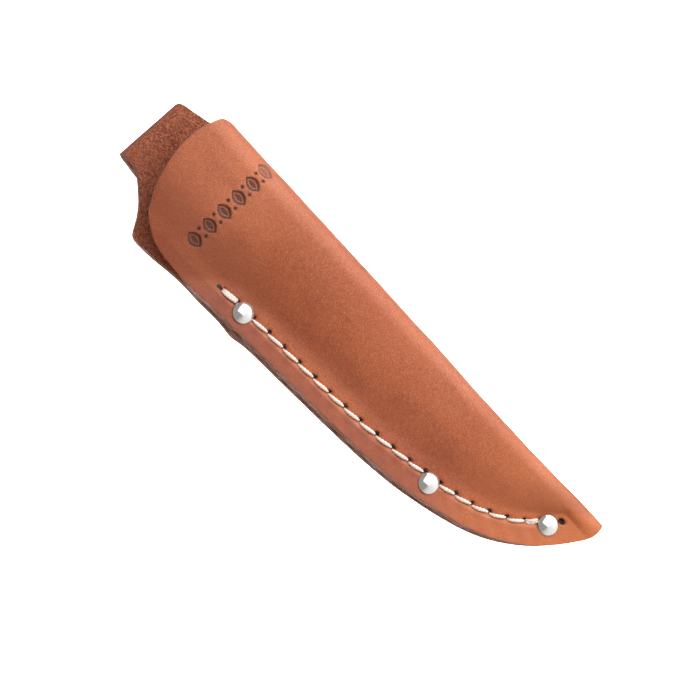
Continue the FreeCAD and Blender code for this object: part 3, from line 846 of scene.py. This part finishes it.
class SheathSizes(bpy.types.PropertyGroup):
    leather: length_setting("Leather", "Thickness of the folded blank", LEATHER)
    edge_round: length_setting("Edge rounding", "Radius that the cut edges are rubbed down to", 0.42)
    thread_radius: length_setting("Thread radius", "Radius of the waxed thread", THREAD_R)
    ply_pitch: length_setting("Ply pitch", "Length in which the thread's plies turn once", 3.3)
    cap_radius: length_setting("Cap radius", "Radius of the rivet heads", CAP_R)
    waviness: length_setting("Waviness", "How far the leather's face strays from its pattern", 0.22)


class SheathColours(bpy.types.PropertyGroup):
    # bright specks of the grain, also used as a painted highlight on the lip beside the thread
    bright_specks_and_highlight: colour_setting("Grain bright", "Specks and puckers that catch the light", 206, 130, 88)
    grain_light: colour_setting("Grain light", "Lighter clouds of the grain side", 186, 99, 54)
    grain_dark: colour_setting("Grain dark", "Usual russet of the grain side", 169, 81, 38)
    # dark streaks and pores of the grain, also the colour of the painted shade on the front and the seam
    # margin
    deep_grain_and_shade: colour_setting("Grain deep", "Darkest streaks and pores of the grain side", 114, 42, 15)
    margin: colour_setting("Seam margin", "Pinker leather between the stitches and the edge", 162, 84, 56)
    # painted light: this colour lightens the leather toward the tip
    painted_tip_light: colour_setting("Tawny tip", "Yellower leather toward the tip", 198, 106, 40)
    pressed: colour_setting("Pressed marks", "Scorched brown in the pressed ornaments", 58, 30, 22)
    flesh_light: colour_setting("Flesh light", "Light fibres of the rough side", 200, 120, 90)
    flesh_dark: colour_setting("Flesh dark", "Dark fibres of the rough side", 108, 50, 32)
    edge_light: colour_setting("Edge light", "Light fibres of the blank's cut edge", 170, 108, 76)
    edge_dark: colour_setting("Edge dark", "Dark fibres of the blank's cut edge", 112, 64, 46)
    welt_light: colour_setting("Welt light", "Light fibres of the welt's cut edge", 146, 108, 94)
    welt_dark: colour_setting("Welt dark", "Dark fibres of the welt's cut edge", 96, 64, 54)
    thread: colour_setting("Thread", "Clean waxed thread", 222, 208, 200)
    # also the painted shade in the grooves between the plies
    thread_shade: colour_setting("Thread shade", "Soiled thread between the plies", 158, 134, 122)
    nickel: colour_setting("Nickel", "Plate on the rivets", 226, 220, 210)


# ---- the leather blank -----------------------------------------------------------------------------
def strap_line():
    """The strap's grain face from the back panel up, over the fold and down to the tail, as (y, z)."""
    a = np.linspace(np.pi, 0, 11)
    fold = np.stack([FOLD_R + FOLD_R * np.cos(a), FOLD_Z + FOLD_R * np.sin(a)], 1)
    down = smooth_run(LOOP_INSIDE)
    up = along(np.array([(0.0, STRAP_BASE), (0.0, FOLD_Z)]), np.linspace(0, 1, 4))
    down = along(down, np.linspace(0, 1, 58))
    tail = along(np.array([(TAIL_GAP, TAIL_TOP), (TAIL_GAP, TAIL_CENTRE)]), np.linspace(0, 1, 12))
    return np.vstack([up, fold[1:], down[1:], tail[1:]])


def strap_points(x_columns):
    """Grid of the strap: straight sides and a round end. Past the fold its +X side is trimmed."""
    to_right = np.maximum(x_columns - STRAP_X, 0.0) / STRAP_HALF
    rows = []
    furthest = 0.0
    for y, z in strap_line():
        furthest = max(furthest, y)
        below_fold = float(eased((STRAP_BASE + 2.6 - z) / 2.6))
        flare = STRAP_FLARE * below_fold * float(eased(1 - furthest / 0.8))
        trim = LOOP_TRIM * float(eased(furthest / (2 * FOLD_R)))
        x_row = x_columns + (flare - trim) * to_right
        rows.append(np.stack([x_row, np.full_like(x_row, y), np.full_like(x_row, z)], 1))
    across = (x_columns - LOOP_TRIM * to_right - STRAP_X) / STRAP_HALF
    for down in np.linspace(0, 1, 14)[1:]:
        x = STRAP_X + STRAP_HALF * across * math.sqrt(1 - down ** 2 / 2)
        z = TAIL_CENTRE - STRAP_HALF * down * np.sqrt(1 - across ** 2 / 2)
        rows.append(np.stack([x, np.full_like(x, TAIL_GAP), z], 1))
    return np.array(rows)


def blank_points():
    """Grid of the pouch's grain face: positions, flat and seam coordinates, and the first and last of the
    columns that run on up the strap."""
    front, (back, last) = front_grid(), back_grid()
    flat = np.concatenate([front, back[:, ::-1][:, 1:]], axis=1)
    s, z = flat[..., 0], flat[..., 1]
    x, y = rolled(s, z)
    y = np.where(s > 0, y * (1 - eased((z - NOTCH_FLAT_FROM) / NOTCH_FLAT_RISE)), y)
    at_edge = np.exp(-np.abs(s - s[:, -1:]) / 1.5)
    x = np.where(s > 0, x - edge_swell(z) * at_edge, x)
    points = np.stack([x, y, z], axis=-1)
    normals = grid_normals(points)
    if normals[len(normals) // 2, 10, 1] > 0:
        normals = -normals
    depth, index, inside = pressed_in(x.ravel(), z.ravel(), s.ravel())
    lift = face_lift(s.ravel(), z.ravel(), inside)
    points = points + normals * (lift - depth).reshape(x.shape)[..., None]
    points = np.where((s > BACK_FROM)[..., None], sheared(points.copy()), points)
    blank_map = np.stack([(s + MAP_SPAN / 2) / MAP_SPAN, z / MAP_SPAN], axis=-1)
    blank_map[s < 0, 0] = x[s < 0] / MAP_SPAN + 0.5 - 1e-4
    seam_map = np.stack([index.reshape(x.shape), inside.reshape(x.shape)], axis=-1)
    turn = flat.shape[1] - 1
    return points, blank_map, seam_map, (turn - last, turn)


def face_lift(s, z, inside):
    """How far the leather's face strays from its pattern; it lies calm beside the seam."""
    wave = bpy.context.scene.sheath_sizes.waviness / MM
    lift = wave * (flat_noise(s, z, 26.0, 3.1) + 0.35 * flat_noise(s, z, 8.0, 7.7))
    return lift * eased((inside - 1.0) / 8.0)


def sheared(points):
    """The top of the strap was folded a little askew: its +X side sits lower."""
    x, z = points[..., 0], points[..., 2]
    share = eased((z - SHEAR_FROM) / (STRAP_BASE - SHEAR_FROM))
    points[..., 2] = z - STRAP_SLOPE * (x - STRAP_X) * share
    return points


def build_blank():
    sizes = bpy.context.scene.sheath_sizes
    points, blank_map, seam_map, (left, right) = blank_points()
    pouch = grid_piece("pouch_grid", points, [("blank", blank_map), ("seam", seam_map)])
    columns = slice(left, right + 1)
    flared = points[-1, columns, 0]
    x_columns = flared - STRAP_FLARE * np.maximum(flared - STRAP_X, 0.0) / (STRAP_HALF + STRAP_FLARE)
    strap = sheared(strap_points(x_columns))
    strap[0] = points[-1, columns]
    reached = lengths(strap[:, len(x_columns) // 2])
    strap_map = np.zeros(strap.shape[:2] + (2,))
    strap_map[..., 0] = blank_map[-1, columns, 0]
    strap_map[..., 1] = (STRAP_BASE + reached[:, None]) / MAP_SPAN
    far = np.full_like(strap_map, FAR_FROM_SEAM)
    loop = grid_piece("strap_grid", strap, [("blank", strap_map), ("seam", far)])
    body = joined("sheath_body_leather", [pouch, loop])
    in_edit_mode(body, welded, turned_outward)
    face_out(body)
    finishes = ("oiled_grain_leather", "rough_flesh_leather", "blank_cut_edge")
    dressed(body, *[bpy.data.materials[name] for name in finishes])
    apply_modifier(body, "SOLIDIFY", "Thickness", thickness=sizes.leather, offset=-1.0,
                   use_even_offset=False, material_offset=1, material_offset_rim=2)
    apply_modifier(body, "BEVEL", "Rubbed edges", width=sizes.edge_round, segments=3,
                   limit_method="ANGLE", angle_limit=math.radians(62), use_clamp_overlap=True)
    smoothed(body, 50.0)
    handed_over(body, "oiled_leather", "sheath_body")


def face_out(body):
    """Turns the whole face over if its front looks back."""
    mesh = body.data
    lowest = min(mesh.polygons, key=lambda p: p.center.y)
    if lowest.normal.y > 0:
        in_edit_mode(body, bpy.ops.mesh.flip_normals)


# ---- the welt --------------------------------------------------------------------------------------
def build_welt():
    sizes = bpy.context.scene.sheath_sizes
    outer = np.vstack([smooth_run(WELT_TIP), smooth_run(SEAM_EDGE)[1:], smooth_run(WELT_TOP)[1:]])
    inner = smooth_run(WELT_INSIDE)
    shares = np.linspace(0, 1, 260)
    a, b = along(outer, shares), along(inner, shares)
    wobble = 0.10 * flat_noise(a[:, 0], a[:, 1], 5.0, 1.3) + 0.16 - edge_swell(a[:, 1])
    a = a + (b - a) / np.linalg.norm(b - a, axis=1)[:, None] * wobble[:, None]
    u = np.r_[0.0, np.linspace(0.09, 0.9, 9), 1.0][None, :, None]
    flat = a[:, None] * (1 - u) + b[:, None] * u
    level = np.full(flat.shape[:2], -2 * LEATHER + WELT_PLAY)
    points = np.stack([flat[..., 0], level, flat[..., 1]], axis=-1)
    strip = grid_piece("welt_strip", points)
    in_edit_mode(strip, turned_outward)
    face_out(strip)
    apply_modifier(strip, "SOLIDIFY", "Thickness", thickness=sizes.leather - 2 * WELT_PLAY * MM, offset=-1.0)
    apply_modifier(strip, "BEVEL", "Rubbed edges", width=WELT_ROUND * MM, segments=2,
                   limit_method="ANGLE", angle_limit=math.radians(60), use_clamp_overlap=True)
    in_edit_mode(strip, turned_outward)
    dressed(strip, bpy.data.materials["welt_cut_edge"])
    smoothed(strip)
    handed_over(strip, "welt_leather", "welt")


# ---- thread ----------------------------------------------------------------------------------------
def seam_holes():
    return np.array([seam_point(i) for i in range(SEAM_STITCHES + 1)])


def loop_holes():
    side = LOOP_STITCH_TOP - TAIL_CENTRE
    bend = math.pi * LOOP_STITCH_R
    holes = []
    for i in range(LOOP_STITCHES + 1):
        d = i * (2 * side + bend) / LOOP_STITCHES
        a = math.pi + min(max(d - side, 0.0), bend) / LOOP_STITCH_R
        rise = max(0.0, side - d, d - side - bend)
        x = STRAP_X + LOOP_STITCH_R * math.cos(a)
        holes.append((x, TAIL_CENTRE + rise + LOOP_STITCH_R * math.sin(a)))
    return np.array(holes)


def thread_route(holes, face, middle, under_rivets, slant):
    """Control points (x, y, z, width) of a thread: up out of each hole, along the face, where it swells,
    and down into the next. Slant moves a stitch's start away from the pouch."""
    out = -1.0 if middle > face else 1.0
    points = []
    for i, (a, b) in enumerate(zip(holes, holes[1:])):
        ahead = (b - a) / np.linalg.norm(b - a)
        length = np.linalg.norm(b - a)
        across = np.array([-ahead[1], ahead[0]])
        top = SUNK_TOP if i in under_rivets else THREAD_TOP
        bowed = BOW if under_rivets.get(i) else 0.0
        deep = abs(middle - face) - LEG_SHORT
        plan = [(0.50, 0.0, -deep, 0.66), (0.46, -slant * 0.5, -1.1, 0.66), (0.80, -slant, -0.34, 0.70),
                (1.60, -slant * 1.1, top - 0.08, 0.90), (length / 2, -slant * 0.8 + bowed, top + 0.06, 1.0),
                (length - 1.50, -slant * 0.2, top - 0.10, 0.88), (length - 0.72, 0.05, -0.38, 0.68),
                (length - 0.44, 0.14, -1.1, 0.64), (length - 0.50, 0.0, -deep, 0.66)]
        for forward, aside, rise, width in plan:
            x, z = a + ahead * forward + across * aside
            points.append((x, face + out * rise, z, width))
    return np.array(points)


def plied(name, route, radius, pitch, spacing=0.17, around=15):
    """A three-ply twisted thread along a route."""
    line = smooth_run(route, 14)
    total = lengths(line)[-1]
    centre = along(line, np.linspace(0, 1, int(total / spacing)))
    width, centre = centre[:, 3:], centre[:, :3]
    ahead = np.gradient(centre, axis=0)
    ahead /= np.linalg.norm(ahead, axis=1)[:, None]
    side = np.cross(ahead[0], (0, 1, 0))
    if np.linalg.norm(side) < 0.1:
        side = np.array([1.0, 0, 0])
    sides = []
    for t in ahead:
        side = side - t * np.dot(side, t)
        side = side / np.linalg.norm(side)
        sides.append(side)
    sides = np.array(sides)
    up = np.cross(sides, ahead)
    a = np.linspace(0, 2 * np.pi, around + 1)[None, :]
    twist = 2 * np.pi * np.linspace(0, total, len(centre))[:, None] / pitch
    lobes = np.abs(np.cos(1.5 * (a - twist)))
    reach = radius * width * (0.70 + 0.36 * lobes)
    points = (centre[:, None] + sides[:, None] * (reach * np.cos(a))[..., None]
              + up[:, None] * (reach * np.sin(a))[..., None])
    ply_map = np.stack([lobes, np.broadcast_to(twist, lobes.shape)], axis=-1)
    tube = grid_piece(name, points, [("ply", ply_map)])
    in_edit_mode(tube, welded, ends_filled, turned_outward)
    return tube


def build_thread(node, holes, face, middle, under_rivets, slant, extra=()):
    sizes = bpy.context.scene.sheath_sizes
    radius, pitch = sizes.thread_radius / MM, sizes.ply_pitch / MM
    route = thread_route(holes, face, middle, under_rivets, slant)
    pieces = [plied(node + "_run", route, radius, pitch)]
    for number, aside in extra:
        ends = holes[number:number + 2]
        step = ends[1] - ends[0]
        across = np.array([-step[1], step[0]]) / np.linalg.norm(step)
        route = thread_route(ends + across * aside, face, middle, {}, slant)
        pieces.append(plied(node + "_back_tack", route, radius * TACK_THINNER, pitch))
    whole = joined(node + "_plied", pieces)
    dressed(whole, bpy.data.materials["waxed_thread"])
    smoothed(whole, 70.0)
    handed_over(whole, "waxed_thread", node)


# ---- rivets ----------------------------------------------------------------------------------------
def head_profile(radius, dome):
    """(radius, height) rings of a rolled cap: flat underneath, a tight rim, a low dome."""
    rise = dome - CAP_RIM
    ball = (radius ** 2 + rise ** 2) / (2 * rise)
    spread = math.asin(radius / ball)
    rings = [(radius * 0.80, 0.02), (radius - 0.12, 0.0), (radius, 0.12), (radius, CAP_RIM - 0.04)]
    for share in range(15, -1, -1):
        a = spread * (share + 0.2) / 15.7
        rings.append((ball * math.sin(a), CAP_RIM + ball * (math.cos(a) - math.cos(spread))))
    return rings


def build_rivet(node, centre, face, outward, dome, shank, reach):
    """A head grown ring by ring from a circle, with its shank reaching into the leather."""
    radius = bpy.context.scene.sheath_sizes.cap_radius / MM
    rings = [(shank, -reach), (shank, -0.02)] + head_profile(radius, dome)
    clear_selection()
    bpy.ops.mesh.primitive_circle_add(vertices=56, radius=rings[0][0] * MM, fill_type="NGON",
                                      location=(0, 0, rings[0][1] * MM))
    head = bpy.context.object
    bpy.ops.object.mode_set(mode="EDIT")
    bpy.ops.mesh.select_all(action="SELECT")
    for (r0, h0), (r1, h1) in zip(rings, rings[1:]):
        bpy.ops.mesh.extrude_region_move(TRANSFORM_OT_translate={"value": (0, 0, (h1 - h0) * MM)})
        bpy.ops.transform.resize(value=(r1 / r0, r1 / r0, 1), center_override=(0, 0, h1 * MM))
    bpy.ops.object.mode_set(mode="OBJECT")
    turn = Matrix.Rotation(math.radians(90 if outward < 0 else -90), 4, "X")
    seat = Vector(placed((centre[0], face, centre[1])))
    head.matrix_world = Matrix.Translation(seat) @ turn @ head.matrix_world
    make_active(head)
    bpy.ops.object.transform_apply(location=True, rotation=True, scale=True)
    in_edit_mode(head, welded, turned_outward)
    head.name = head.data.name = node + "_nickel"
    dressed(head, bpy.data.materials["nickel_plate"])
    smoothed(head, 60.0)
    handed_over(head, "nickel_plate", node)


# ---- stage -----------------------------------------------------------------------------------------
def soft_light(name, place, aim, size, power, spread):
    data = bpy.data.lights.new(name, "AREA")
    data.shape = "RECTANGLE"
    data.size, data.size_y = size
    data.energy = power
    data.spread = math.radians(spread)
    lamp = bpy.data.objects.new(name, data)
    bpy.context.scene.collection.objects.link(lamp)
    lamp.location = place
    lamp.rotation_euler = (Vector(place) - Vector(aim)).to_track_quat("Z", "Y").to_euler()


def white_room():
    world = bpy.data.worlds.new("white_room")
    world.use_nodes = True
    background = world.node_tree.nodes["Background"]
    background.inputs["Color"].default_value = WORLD_COLOUR
    background.inputs["Strength"].default_value = WORLD_STRENGTH
    bpy.context.scene.world = world


def pale_stage():
    r = Recipe("pale_paint")
    clouds = r.between(r.noise(3.0), 0.3, 0.7)
    r.set(Base_Color=r.mix(clouds, linear(*STAGE_LIGHT), linear(*STAGE_DARK)), Roughness=0.9,
          Specular_IOR_Level=0.1)
    planes = (("pale_floor", (0, 0, FLOOR_Z), 0.0), ("pale_backdrop", (0, BACKDROP_Y, 0), math.pi / 2))
    for name, place, turn in planes:
        clear_selection()
        bpy.ops.mesh.primitive_plane_add(size=STAGE_SIZE, location=place, rotation=(turn, 0, 0))
        plane = bpy.context.object
        plane.name = name
        dressed(plane, r.material)


def place_camera():
    data = bpy.data.cameras.new("studio_camera")
    data.lens = CAMERA_LENS
    data.sensor_width = CAMERA_SENSOR
    data.clip_start, data.clip_end = 0.01, 60.0
    camera = bpy.data.objects.new("studio_camera", data)
    bpy.context.scene.collection.objects.link(camera)
    right, up = CAMERA_RIGHT.normalized(), CAMERA_UP.normalized()
    back = right.cross(up).normalized()
    up = back.cross(right)
    turn = Matrix((right, up, back)).transposed().to_4x4()
    camera.matrix_world = Matrix.Translation(CAMERA_PLACE) @ turn
    bpy.context.scene.camera = camera


# ---- operators -------------------------------------------------------------------------------------
class SHEATH_OT_finishes(bpy.types.Operator):
    """Mix the leather, thread and nickel finishes"""
    bl_idname = "sheath.finishes"
    bl_label = "Mix finishes"

    def execute(self, context):
        colours = context.scene.sheath_colours
        grain_leather(colours)
        flesh_leather(colours)
        cut_edge("blank_cut_edge", colours.edge_light, colours.edge_dark)
        cut_edge("welt_cut_edge", colours.welt_light, colours.welt_dark)
        waxed_thread(colours)
        nickel_plate(colours)
        return {"FINISHED"}


class SHEATH_OT_blank(bpy.types.Operator):
    """Fold the leather blank into the pouch and its belt loop"""
    bl_idname = "sheath.blank"
    bl_label = "Fold blank"

    def execute(self, context):
        build_blank()
        return {"FINISHED"}


class SHEATH_OT_welt(bpy.types.Operator):
    """Lay the welt between the panels"""
    bl_idname = "sheath.welt"
    bl_label = "Lay welt"

    def execute(self, context):
        build_welt()
        return {"FINISHED"}


class SHEATH_OT_threads(bpy.types.Operator):
    """Sew the seam and the tail of the belt loop"""
    bl_idname = "sheath.threads"
    bl_label = "Sew threads"

    def execute(self, context):
        seam, tail = seam_holes(), loop_holes()
        build_thread("seam_front_thread", seam, -STACK, -STACK / 2, UNDER_RIVETS, 0.36, BACK_TACKS)
        build_thread("seam_back_thread", seam, 0.0, -STACK / 2, UNDER_RIVETS, 0.2)
        build_thread("loop_inner_thread", tail, -LEATHER, TAIL_MIDDLE, {}, 0.0)
        build_thread("loop_outer_thread", tail, TAIL_FACE, TAIL_MIDDLE, {}, 0.15)
        return {"FINISHED"}


class SHEATH_OT_rivets(bpy.types.Operator):
    """Set the cap rivets"""
    bl_idname = "sheath.rivets"
    bl_label = "Set rivets"

    def execute(self, context):
        reach = STACK - 0.5
        for name, centre in RIVETS.items():
            build_rivet(name + "_rivet_cap", centre, -STACK + CAP_SUNK, -1, FRONT_DOME, CAP_SHANK, reach)
            build_rivet(name + "_rivet_post", centre, 0.0, 1, BACK_DOME, POST_SHANK, reach)
        reach = TAIL_FACE + LEATHER - 0.4
        build_rivet("loop_rivet_cap", LOOP_RIVET, TAIL_FACE, 1, FRONT_DOME, CAP_SHANK, reach)
        build_rivet("loop_rivet_post", LOOP_RIVET, -LEATHER, -1, BACK_DOME, POST_SHANK, reach)
        return {"FINISHED"}


class SHEATH_OT_stage(bpy.types.Operator):
    """Set up the pale floor, the soft lights and the camera"""
    bl_idname = "sheath.stage"
    bl_label = "Set stage"

    def execute(self, context):
        white_room()
        pale_stage()
        for light in LIGHTS:
            soft_light(*light)
        place_camera()
        context.scene.view_settings.view_transform = "Standard"
        return {"FINISHED"}


class SHEATH_PT_panel(bpy.types.Panel):
    """Sheath builder"""
    bl_idname = "SHEATH_PT_panel"
    bl_label = "Belt sheath"
    bl_space_type = "VIEW_3D"
    bl_region_type = "UI"
    bl_category = "Sheath"

    def draw(self, context):
        for group in (context.scene.sheath_sizes, context.scene.sheath_colours):
            for name in group.__annotations__:
                self.layout.prop(group, name)
        for operator in OPERATORS:
            self.layout.operator(operator.bl_idname)


OPERATORS = (SHEATH_OT_finishes, SHEATH_OT_blank, SHEATH_OT_welt, SHEATH_OT_threads, SHEATH_OT_rivets,
             SHEATH_OT_stage)
CLASSES = (SheathSizes, SheathColours) + OPERATORS + (SHEATH_PT_panel,)


def register():
    for cls in CLASSES:
        bpy.utils.register_class(cls)
    bpy.types.Scene.sheath_sizes = bpy.props.PointerProperty(type=SheathSizes)
    bpy.types.Scene.sheath_colours = bpy.props.PointerProperty(type=SheathColours)


def unregister():
    del bpy.types.Scene.sheath_colours
    del bpy.types.Scene.sheath_sizes
    for cls in reversed(CLASSES):
        bpy.utils.unregister_class(cls)


def main():
    register()
    bpy.ops.sheath.finishes()
    bpy.ops.sheath.blank()
    bpy.ops.sheath.welt()
    bpy.ops.sheath.threads()
    bpy.ops.sheath.rivets()
    bpy.ops.sheath.stage()


if __name__ == "__main__":
    main()
